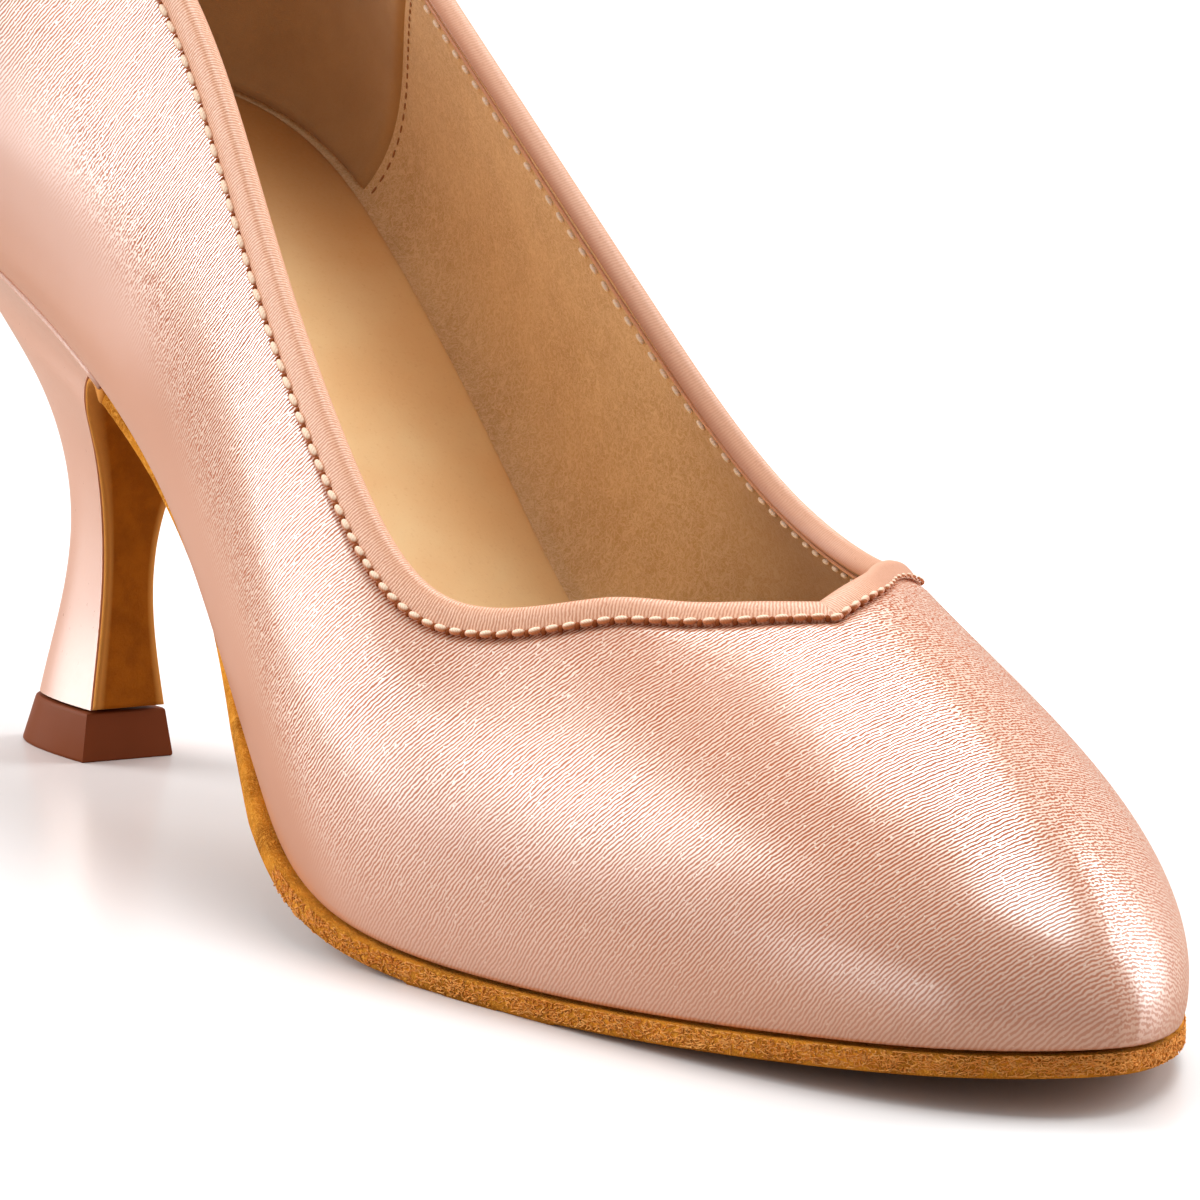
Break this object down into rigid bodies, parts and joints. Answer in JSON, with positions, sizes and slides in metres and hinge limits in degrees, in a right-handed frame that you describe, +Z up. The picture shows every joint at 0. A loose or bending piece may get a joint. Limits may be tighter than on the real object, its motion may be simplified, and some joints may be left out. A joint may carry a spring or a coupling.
{
  "type": "tango shoe",
  "caption": "Women's satin ballroom court shoe with a flared heel, suede sole, bound topline with a shallow V at the throat, and an open collar; right foot.",
  "frame": {"origin": "on the floor, under the middle of the shoe's box", "axes": "+X to the toe, +Y to the wearer's left, +Z up; the shoe stands on its tread and its top piece at z=0"},
  "size_m": [0.2362, 0.0722, 0.1175],
  "materials": {
    "satin_upper": "flesh satin, fine crossways grain, soft sheen",
    "satin_binding": "folded satin strip, pebbled grain, stitched along its lower edge",
    "sock_leather": "smooth light tan",
    "suede_sole": "brushed brown suede",
    "top_piece_plastic": "red-brown moulded plastic"
  },
  "bodies": {
    "root": {"upper": "satin_upper", "topline_binding": "satin_binding", "insole": "sock_leather", "outsole": "suede_sole", "heel": "satin_upper", "heel_top_piece": "top_piece_plastic"}
  },
  "joints": []
}
